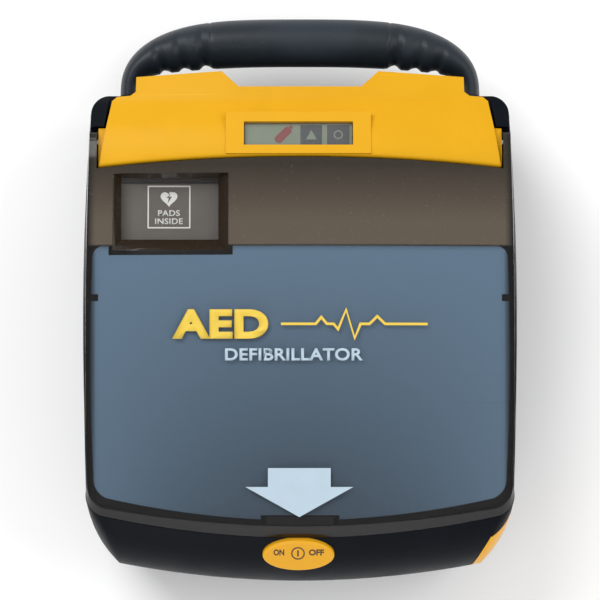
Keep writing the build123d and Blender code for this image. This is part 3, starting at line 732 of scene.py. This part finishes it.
def set_out(holder, template, scale, turn, material):
    """Sets a copy of the template on each point of the holder, by geometry nodes, as one plain mesh."""
    tree = bpy.data.node_groups.new("Set Out Fittings", "GeometryNodeTree")
    inputs = {
        "Points": "Geometry", "Fitting": "Object", "Scale": "Float", "Turn": "Float", "Finish": "Material"
    }
    for label, kind in inputs.items():
        tree.interface.new_socket(label, in_out="INPUT", socket_type="NodeSocket" + kind)
    tree.interface.new_socket("Fittings", in_out="OUTPUT", socket_type="NodeSocketGeometry")
    given = tree.nodes.new("NodeGroupInput").outputs
    fitting = add_node(tree, "GeometryNodeObjectInfo", Object=given["Fitting"])
    angle = add_node(tree, "FunctionNodeRandomValue", [("data_type", "FLOAT")], Seed=7)
    limits = {socket.identifier: socket for socket in angle.inputs}
    limits["Min_001"].default_value = 0.0
    tree.links.new(given["Turn"], limits["Max_001"])
    turned = {socket.identifier: socket for socket in angle.outputs}["Value_001"]
    spin = add_node(tree, "ShaderNodeCombineXYZ", Z=turned)
    place = add_node(
        tree, "GeometryNodeInstanceOnPoints", Points=given["Points"], Instance=fitting.outputs["Geometry"],
        Rotation=spin.outputs["Vector"], Scale=given["Scale"],
    )
    real = add_node(tree, "GeometryNodeRealizeInstances", Geometry=place.outputs["Instances"])
    finish = add_node(
        tree, "GeometryNodeSetMaterial", Geometry=real.outputs["Geometry"], Material=given["Finish"]
    )
    feed(tree.nodes.new("NodeGroupOutput"), Fittings=finish.outputs["Geometry"])
    modifier = holder.modifiers.new("set_out", "NODES")
    modifier.node_group = tree
    values = {"Fitting": template, "Scale": scale, "Turn": turn, "Finish": MATERIALS[material]}
    for item in tree.interface.items_tree:
        if item.in_out == "INPUT" and item.name in values:
            modifier[item.identifier] = values[item.name]
    bpy.context.view_layer.update()
    graph = bpy.context.evaluated_depsgraph_get()
    made = bpy.data.meshes.new_from_object(holder.evaluated_get(graph))
    holder.modifiers.clear()
    points = holder.data
    holder.data = made
    bpy.data.meshes.remove(points)


# ---- operators

class DefibOperator:
    """What the operators share: they can be undone."""

    bl_options = {"REGISTER", "UNDO"}


class DEFIB_OT_finishes(DefibOperator, Operator):
    """Make every material of the defibrillator"""

    bl_idname = "defib.finishes"
    bl_label = "Finishes"

    def execute(self, context):
        make_materials(context.scene.defib_colours)
        return {"FINISHED"}


class DEFIB_OT_studio(DefibOperator, Operator):
    """Lay a pale floor, hang soft lights and set the camera"""

    bl_idname = "defib.studio"
    bl_label = "Studio"

    # Each lamp's place and size in metres, and its power in watts
    LAMPS = {
        "key_light": ((-0.7, 0.9, 1.5), 1.1, 21.0),
        "fill_light": ((1.1, 0.2, 1.3), 1.2, 9.0),
        "low_light": ((-0.3, -1.5, 0.8), 1.0, 6.0),
    }
    LAMP_TARGET = Vector((0, 0, 0.05))
    CAMERA_TARGET = Vector((0.0, -0.0011, 0.05))
    CAMERA_ELEVATION = radians(86.0)
    LENS_MM = 160.6
    SKY_STRENGTH = 0.68

    def execute(self, context):
        sizes = context.scene.defib_sizes
        bpy.context.scene.view_settings.view_transform = "Standard"
        self.floor()
        self.sky()
        for name, (place, size, power) in self.LAMPS.items():
            self.soft_light(name, place, size, power)
        self.camera(sizes.camera_distance)
        return {"FINISHED"}

    def aim(self, obj, place, target):
        obj.location = place
        obj.rotation_euler = (target - Vector(place)).to_track_quat("-Z", "Y").to_euler()

    def floor(self):
        build = bmesh.new()
        bmesh.ops.create_circle(build, cap_ends=True, segments=96, radius=5.0)
        floor = mesh_from("floor", build)
        tree, shader = start_material("floor_paper")
        mottle = noise_field(tree, Scale=3.0, Detail=2.0)
        feed(shader, Base_Color=mix_colours(tree, mottle, (0.86, 0.86, 0.86), (0.90, 0.90, 0.90)))
        feed(shader, Roughness=0.9, Specular_IOR_Level=0.1)
        floor.data.materials.append(MATERIALS["floor_paper"])

    def sky(self):
        world = bpy.data.worlds.new("studio_sky")
        world.use_nodes = True
        feed(world.node_tree.nodes["Background"], Color=(1.0, 1.0, 1.0, 1.0), Strength=self.SKY_STRENGTH)
        bpy.context.scene.world = world

    def soft_light(self, name, place, size, power):
        lamp = bpy.data.lights.new(name, "AREA")
        lamp.shape = "DISK"
        lamp.size = size
        lamp.energy = power
        self.aim(new_object(name, lamp), place, self.LAMP_TARGET)

    def camera(self, distance):
        heading = Vector((0.0, -cos(self.CAMERA_ELEVATION), sin(self.CAMERA_ELEVATION)))
        lens = bpy.data.cameras.new("studio_camera")
        lens.lens = self.LENS_MM
        lens.sensor_width = 36.0
        lens.clip_end = 20.0
        eye = new_object("studio_camera", lens)
        self.aim(eye, self.CAMERA_TARGET + distance * heading, self.CAMERA_TARGET)
        bpy.context.scene.camera = eye


class DEFIB_OT_electronics(DefibOperator, Operator):
    """Finish the boards, cells, springs and parts inside the casing"""

    bl_idname = "defib.electronics"
    bl_label = "Electronics"

    INSIDE = (
        "main_board", "board_screws", "storage_capacitor", "transformer_core", "transformer_windings",
        "discharge_relay", "battery_cells", "battery_tray", "cartridge_contacts", "cartridge_cells",
        "cartridge_pins", "display_board", "power_switch", "shock_switch", "speaker_magnet", "handle_core",
        "handle_screws", "case_screws", "case_gasket", "hinge_pins",
    )
    POWER_SPRING_DEPTH = 12.55 * MM  # how far under the button's face its spring stands

    def execute(self, context):
        paint_nodes(*self.INSIDE)
        slope = radians(BUTTON_SLOPE)
        outward = Vector((0, -sin(slope), cos(slope)))
        seat = Vector(BUTTON_CENTRE) * MM - self.POWER_SPRING_DEPTH * outward
        self.spring("power_coil", "power_spring", seat, outward, 0.00195, 0.0059, "power_press", 0.76)
        low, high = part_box("shock_spring")
        seat = Vector(((low.x + high.x) / 2, (low.y + high.y) / 2, low.z + 0.00005))
        upward = Vector((0, 0, 1))
        self.spring("shock_coil", "shock_spring", seat, upward, 0.0034, 0.0065, "shock_press", 0.69)
        return {"FINISHED"}

    def spring(self, name, node, seat, outward, radius, height, joint, keep):
        """A wound coil in place of a plain spring."""
        turns, steps, sides, wire = 5, 20, 8, radius * 0.13
        across = outward.orthogonal().normalized()
        beside = outward.cross(across)
        build = bmesh.new()
        rings = []
        for i in range(turns * steps + 1):
            angle = 2 * pi * i / steps
            radial = across * cos(angle) + beside * sin(angle)
            rise = wire + (height - 2 * wire) * i / (turns * steps)
            centre = seat + radial * radius + outward * rise
            section = circle_offsets(wire, sides)
            rings.append([build.verts.new(centre + radial * a + outward * b) for a, b in section])
        join_rings(build, rings)
        build.faces.new(rings[0])
        build.faces.new(rings[-1])
        coil = solid_from(name, build)
        finish_piece(coil, "casing", "spring_steel", [node])
        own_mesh(coil)


class DEFIB_OT_casing(DefibOperator, Operator):
    """Finish the black casing halves, the cartridge, the feet and the rating plate"""

    bl_idname = "defib.casing"
    bl_label = "Casing"

    PLATE_FACE = 0.00199
    PLATE_PRINT_HEIGHT = 0.00004

    def execute(self, context):
        sizes = context.scene.defib_sizes
        paint_nodes("base_shell", "rubber_feet", "rating_plate", "cartridge_body", "cartridge_face")
        dress("upper_casing", sizes.edge_round)
        self.plate_print()
        return {"FINISHED"}

    def plate_print(self):
        """Ruled lines and a plain frame on the rating plate under the casing."""
        lines = [rectangle(-28, y, 28, y + 0.35) for y in (-9.0, -4.5, 0.0, 4.5)]
        lines.append(rectangle(-28, 7.2, -19, 10.6))
        lines.append(rectangle(-27.4, 7.8, -19.6, 10.0)[::-1])
        mesh = outline_mesh("plate_rules", lines)
        face = Matrix.Translation((0, 0, self.PLATE_FACE)) @ Matrix.Rotation(pi, 4, "Y")
        print_on_plane(mesh, face, "casing", "icon_dark", self.PLATE_PRINT_HEIGHT)


class DEFIB_OT_hood(DefibOperator, Operator):
    """Finish the yellow hood and its display"""

    bl_idname = "defib.hood"
    bl_label = "Hood and display"

    PANEL_OFFSET = (0, -0.0003, -0.00278)  # from the middle of the lens to the panel's face

    def execute(self, context):
        sizes = context.scene.defib_sizes
        dress("top_hood", sizes.edge_round)
        paint_nodes("display_lens", "display_panel")
        self.icons(sizes.print_height)
        return {"FINISHED"}

    def icons(self, lift):
        """A red cell sign and two dark squares with a plain mark in each, on the display's panel."""
        face = slope_matrix(DISPLAY_CENTRE, DISPLAY_SLOPE) @ Matrix.Translation(self.PANEL_OFFSET)

        def put(name, loops, matrix, material, thickness):
            print_on_plane(outline_mesh(name, loops), matrix, "casing", material, thickness)

        squares = [rectangle(0.9, -4.6, 10.6, 4.6), rectangle(12.9, -4.6, 22.9, 4.6)]
        put("status_squares", squares, face, "icon_dark", lift)
        ring = [shifted(circle_offsets(radius, 30), 17.9, 0.0) for radius in (2.1, 1.5)]
        triangle = [(3.4, -2.2), (8.2, -2.2), (5.8, 2.4)]
        raised = face @ Matrix.Translation((0, 0, lift))
        put("status_marks", [ring[0], ring[1][::-1], triangle], raised, "display_glass", lift * 0.6)
        tip = shifted(rounded_box_points(1.1, 1.9, 0.4), 5.15, 0.0)
        tilted = face @ Matrix.Translation((-0.0069, -0.0001, 0)) @ Matrix.Rotation(radians(46), 4, "Z")
        put("cell_sign", [rounded_box_points(8.8, 3.7, 1.2), tip], tilted, "icon_red", lift)


class DEFIB_OT_deck(DefibOperator, Operator):
    """Finish what lies under the lid"""

    bl_idname = "defib.deck"
    bl_label = "Deck"

    SCREW_PLACES = ((0.0355, -0.092), (0.084, -0.084), (0.0355, 0.024), (0.084, 0.024))
    SCREW_SEAT = 0.0894
    SCREW_RADIUS = 0.0029
    SCREW_HEIGHT = 0.0013
    SIGN_X = -0.0592

    def execute(self, context):
        paint_nodes(
            "inner_deck", "pouch_label", "pouch_tab", "connector_socket", "electrode_connector",
            "infrared_window", "speaker_frame", "shock_bezel", "shock_button",
        )
        self.pouch()
        self.sign()
        self.screws()
        self.shock_mark()
        return {"FINISHED"}

    def pouch(self):
        """The sealed electrode pouch: a crowned pillow with a flat sealed rim and soft creases."""
        low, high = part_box("electrode_pouch")
        columns, rows = 84, 102
        rim, shoulder, film, clearance = 0.006, 0.022, 0.00025, 0.0002
        top, base = high.z - clearance, low.z + clearance
        seal = base + 0.0062
        top_swell, base_swell = top - seal - 0.0006, seal - base - 0.0004

        def height(u, v, side):
            inner_x = min(u, 1 - u) * (high.x - low.x)
            inner_y = min(v, 1 - v) * (high.y - low.y)
            edge = min(inner_x, inner_y) - rim
            if edge <= 0:
                return seal + side * film
            swell = sqrt(1 - (1 - min(1.0, edge / shoulder)) ** 2)
            broad = noise.noise(Vector((u * 5.2, v * 6.4, 3.1)))
            fine = noise.noise(Vector((u * 12.0, v * 9.0, 8.4)))
            crease = (0.0014 * (broad + 0.5 * fine) - 0.0007) * swell
            if side > 0:
                return min(top, seal + film + top_swell * swell + crease)
            return max(base, seal - film - base_swell * swell)

        build = bmesh.new()
        sheets = []
        for side in (1, -1):
            grid = {}
            for j in range(rows + 1):
                for i in range(columns + 1):
                    u, v = i / columns, j / rows
                    x = low.x + u * (high.x - low.x)
                    y = low.y + v * (high.y - low.y)
                    grid[j, i] = build.verts.new((x, y, height(u, v, side)))
            for j in range(rows):
                for i in range(columns):
                    build.faces.new((grid[j, i], grid[j, i + 1], grid[j + 1, i + 1], grid[j + 1, i]))
            sheets.append(grid)
        border = [(0, i) for i in range(columns)] + [(j, columns) for j in range(rows)]
        border += [(rows, i) for i in range(columns, 0, -1)] + [(j, 0) for j in range(rows, 0, -1)]
        join_rings(build, [[grid[spot] for spot in border] for grid in reversed(sheets)])
        pouch = solid_from("pouch_pillow", build)
        finish_piece(pouch, "casing", "pouch_foil", ["electrode_pouch"])

    def sign(self):
        """A square frame round a heart and bolt, printed on the pouch's label under the window."""
        side, line, lift = 19.4, 0.6, 0.00005
        inside = side - 2 * line
        loops = [
            rounded_box_points(side, side, 0.2, 1), rounded_box_points(inside, inside, 0.1, 1)[::-1],
            shifted(heart_points(7.6), 0, 3.9), shifted(bolt_points(4.8), 0, 4.2)[::-1],
        ]
        words = text_mesh("window_words", "PADS\nINSIDE", 6.4, 12.6, 0.16, 1.05)
        label_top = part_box("pouch_label")[1].z + 0.00001
        for mesh, y in ((outline_mesh("window_sign", loops), 0.0380), (words, 0.0334)):
            place = Matrix.Translation((self.SIGN_X, y, label_top))
            print_on_plane(mesh, place, "casing", "label_white", lift)

    def screws(self):
        """Cross-slotted pan heads on the deck's four screws, set out with geometry nodes."""
        build = bmesh.new()
        for x, y in self.SCREW_PLACES:
            build.verts.new((x, y, self.SCREW_SEAT))
        heads = mesh_from("deck_screw_heads", build)
        template = screw_head("screw_head_template", self.SCREW_RADIUS, self.SCREW_HEIGHT)
        set_out(heads, template, 1.0, 0.6, "steel")
        bpy.data.objects.remove(template)
        finish_piece(heads, "casing", "steel", ["deck_screws"])

    def shock_mark(self):
        """A plain bolt moulded on the shock button."""
        low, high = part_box("shock_button")
        sunk, height = 0.00002, 0.0001
        place = Matrix.Translation(((low.x + high.x) / 2, (low.y + high.y) / 2, high.z - sunk))
        mesh = outline_mesh("shock_bolt", [bolt_points(10.0)])
        print_on_plane(mesh, place, "shock_button", "label_white", height)


class DEFIB_OT_lid(DefibOperator, Operator):
    """Finish the smoke lid, its card and its prints"""

    bl_idname = "defib.lid"
    bl_label = "Lid"

    # The window's frame: its outer and inner outlines, and the heights it slopes between, in millimetres
    FRAME_OUTER = (-84.0, 17.4, -32.0, 52.1)
    FRAME_INNER = (-80.4, 22.6, -36.7, 50.5)
    FRAME_TOP = 104.4
    FRAME_FLOOR = 99.6
    FRAME_THICKNESS = 0.00009

    WORD_Y = -15.6
    SMALL_WORD_PLACE = (-2.7, -29.2)
    ARROW_PLACE = (-0.3, -90.7)
    PULSE = (
        (-8.5, 0), (7, 0), (9.5, 3.0), (12, 0), (15, 0), (17, -2.4), (20.6, 6.4), (24.4, -6.4), (27, 0),
        (31, 0), (34.5, 3.4), (38, 0), (57, 0),
    )
    ARROW = (
        (-14.0, 10.9), (-14.0, 2.5), (-24.1, 2.5), (0, -10.9), (24.1, 2.5), (14.0, 2.5), (14.0, 10.9)
    )

    def execute(self, context):
        sizes = context.scene.defib_sizes
        paint_nodes("lid_window_pane", "instruction_card", "lid_catch")
        dress("lid_shell", sizes.edge_round * 0.8)
        self.window_bezel()
        self.prints(sizes.print_height)
        return {"FINISHED"}

    def window_bezel(self):
        """The dark frame that slopes down to the lid's window."""
        steps, along, above_slope, above_lid = 6, 14, 0.12, 0.04
        outer = [Vector(corner) for corner in rectangle(*self.FRAME_OUTER)]
        inner = [Vector(corner) for corner in rectangle(*self.FRAME_INNER)]
        build = bmesh.new()
        rings = []
        for step in range(steps + 1):
            share = step / steps
            slope = self.FRAME_TOP + (self.FRAME_FLOOR - self.FRAME_TOP) * share + above_slope
            ring = []
            for side in range(4):
                for k in range(along):
                    far = outer[side].lerp(outer[(side + 1) % 4], k / along)
                    near = inner[side].lerp(inner[(side + 1) % 4], k / along)
                    spot = far.lerp(near, share)
                    z = min(slope, lid_height(spot.x, spot.y) + above_lid)
                    ring.append(build.verts.new((spot.x * MM, spot.y * MM, z * MM)))
            rings.append(ring)
        join_rings(build, rings)
        thicken(build, -self.FRAME_THICKNESS)
        finish_piece(mesh_from("window_bezel", build), "lid", "window_frame")

    def prints(self, lift):
        """Generic lettering, a pulse line and the arrow that points at the power button."""
        large = text_mesh("lid_word_large", "AED", 13.2, 43.0, 0.9, 1.06)
        pulse = outline_mesh("lid_pulse_line", [ribbon_points(self.PULSE, 1.15)])
        small = text_mesh("lid_word_small", "DEFIBRILLATOR", 5.6, 61.6, 0.22, 1.04)
        arrow = outline_mesh("lid_arrow", [self.ARROW])
        print_on_lid(large, -35.6, self.WORD_Y, "print_yellow", lift)
        print_on_lid(pulse, 0.0, self.WORD_Y, "print_yellow", lift)
        print_on_lid(small, *self.SMALL_WORD_PLACE, "print_white", lift)
        print_on_lid(arrow, *self.ARROW_PLACE, "print_white", lift)


class DEFIB_OT_power(DefibOperator, Operator):
    """Finish the power button and the latch"""

    bl_idname = "defib.power"
    bl_label = "Power button"

    FACE_RISE = 0.00149
    WORD_HEIGHT = 3.9
    TALLER = 1.28  # the mark is drawn taller than wide, because the button's face leans back

    def execute(self, context):
        sizes = context.scene.defib_sizes
        paint_nodes("power_button")
        paint_nodes("latch_slider", material="latch_yellow")
        self.legend(sizes.print_height)
        return {"FINISHED"}

    def legend(self, lift):
        """ON, a circled stroke and OFF, printed on the button's face."""
        face = slope_matrix(BUTTON_CENTRE, BUTTON_SLOPE) @ Matrix.Translation((0, 0, self.FACE_RISE))

        def put(mesh, x, y):
            place = face @ Matrix.Translation((x * MM, y * MM, 0))
            print_on_plane(mesh, place, "power_button", "print_brown", lift)

        for name, word, width, x in (("button_on", "ON", 4.8, -8.8), ("button_off", "OFF", 6.8, 8.1)):
            put(text_mesh(name, word, self.WORD_HEIGHT, width, 0.2), x, 2.6)
        rings = [circle_offsets(3.1, 48), circle_offsets(2.5, 48)[::-1]]
        mark = outline_mesh("button_mark", rings + [rectangle(-0.36, -1.5, 0.36, 1.5)])
        mark.transform(Matrix.Scale(self.TALLER, 4, (0, 1, 0)))
        put(mark, -0.2, 2.0)


class DEFIB_OT_handle(DefibOperator, Operator):
    """Make the rubber skin of the handle: a plain grip between two arms with finger hollows"""

    bl_idname = "defib.handle"
    bl_label = "Handle"

    # Each hollow: its middle across the handle, its half-width and its depth, in millimetres
    HOLLOWS = ((45.6, 3.8, 2.0), (56.3, 3.6, 1.6), (66.4, 3.4, 1.5))
    SEAM_DEPTH = 0.35
    SEAM_HALF = 0.7
    SAMPLES = 4000
    SPACING = 0.55
    SIDES = 72

    def execute(self, context):
        self.points = self.line()
        left, right = self.nearest(-GRIP_HALF), self.nearest(GRIP_HALF)
        foot = HANDLE_FOOT_Y + 0.2
        on_bar = [i for i, point in enumerate(self.points) if point.y > foot]
        self.skin("handle_arm_left", [i for i in on_bar if i <= left], self.HOLLOWS, "handle_arms")
        self.skin("handle_arm_right", [i for i in on_bar if i >= right], self.HOLLOWS, "handle_arms")
        self.skin("handle_grip_skin", range(left, right + 1), (), "handle_grip")
        return {"FINISHED"}

    def line(self):
        """Points along the handle's centre line at even spacing, in millimetres."""
        rise = HANDLE_MIDDLE_Y - HANDLE_FOOT_Y
        raw = []
        for i in range(self.SAMPLES + 1):
            angle = pi * i / self.SAMPLES
            across = -cos(angle)
            x = HANDLE_FOOT_X * abs(across) ** (2 / 3) * (1 if across > 0 else -1)
            up = rise * sin(angle) ** (2 / 3) if 0 < i < self.SAMPLES else 0.0
            raw.append(Vector((x, HANDLE_FOOT_Y + up)))
        spaced, travelled = [raw[0]], 0.0
        for before, after in zip(raw, raw[1:]):
            travelled += (after - before).length
            if travelled >= self.SPACING:
                spaced.append(after)
                travelled = 0.0
        return spaced

    def nearest(self, x):
        return min(range(len(self.points)), key=lambda i: abs(self.points[i].x - x))

    def press(self, inward, x, hollows):
        """How deep the seam and the hollows press in at a place across the bar."""
        depth = self.SEAM_DEPTH * max(0.0, 1 - abs(x - GRIP_HALF) / self.SEAM_HALF)
        for middle, half, amount in hollows:
            along = (x - middle) / half
            if -1 < along < 1:
                shape = cos(along * pi / 2) ** (2 if along > -0.35 else 1)
                reach = max(0.0, (inward - 0.10 - 0.16 * abs(along)) / 0.9)
                depth += amount * shape * min(1.0, reach * 1.5)
        return depth

    def ring(self, build, i, hollows):
        """One oval section of the bar, pressed in where a hollow crosses its inner side."""
        points = self.points
        here = points[i]
        heading = points[min(i + 1, len(points) - 1)] - points[max(i - 1, 0)]
        outward = Vector((-heading.y, heading.x)).normalized()
        reach = min(1.0, abs(here.x) / HANDLE_FOOT_X)
        half_depth = (8.0 + 14.4 * (1 - reach ** 5)) / 2
        half_height = (20.0 + 4.0 * (1 - reach ** 6)) / 2
        ring = []
        for c, s in circle_offsets(1.0, self.SIDES):
            pressed = self.press(0.5 - 0.5 * c, abs(here.x), hollows)
            spot = here + outward * c * (half_depth - pressed)
            z = HANDLE_Z + s * (half_height - pressed)
            ring.append(build.verts.new((spot.x * MM, spot.y * MM, z * MM)))
        return ring

    def skin(self, name, span, hollows, node):
        """A closed length of the bar in place of a frame node."""
        build = bmesh.new()
        rings = [self.ring(build, i, hollows) for i in span]
        join_rings(build, rings)
        build.faces.new(rings[0])
        build.faces.new(rings[-1])
        finish_piece(solid_from(name, build, 50), "casing", "rubber_black", [node])


STEPS = (
    DEFIB_OT_finishes, DEFIB_OT_studio, DEFIB_OT_electronics, DEFIB_OT_casing, DEFIB_OT_hood, DEFIB_OT_deck,
    DEFIB_OT_lid, DEFIB_OT_power, DEFIB_OT_handle,
)


class DEFIB_PT_sidebar(Panel):
    """The defibrillator's operators in the 3D view's sidebar"""

    bl_label = "Defibrillator"
    bl_idname = "DEFIB_PT_sidebar"
    bl_space_type = "VIEW_3D"
    bl_region_type = "UI"
    bl_category = "Defibrillator"

    def draw(self, context):
        for settings in (context.scene.defib_colours, context.scene.defib_sizes):
            for name in settings.bl_rna.properties.keys():
                if name not in ("rna_type", "name"):
                    self.layout.prop(settings, name)
        for step in STEPS:
            self.layout.operator(step.bl_idname)


CLASSES = (DefibColours, DefibSizes, *STEPS, DEFIB_PT_sidebar)


def register():
    for cls in CLASSES:
        bpy.utils.register_class(cls)
    bpy.types.Scene.defib_colours = PointerProperty(type=DefibColours)
    bpy.types.Scene.defib_sizes = PointerProperty(type=DefibSizes)


def unregister():
    del bpy.types.Scene.defib_sizes
    del bpy.types.Scene.defib_colours
    for cls in reversed(CLASSES):
        bpy.utils.unregister_class(cls)


def main():
    register()
    for step in STEPS:
        prefix, name = step.bl_idname.split(".")
        getattr(getattr(bpy.ops, prefix), name)()


if __name__ == "__main__":
    main()
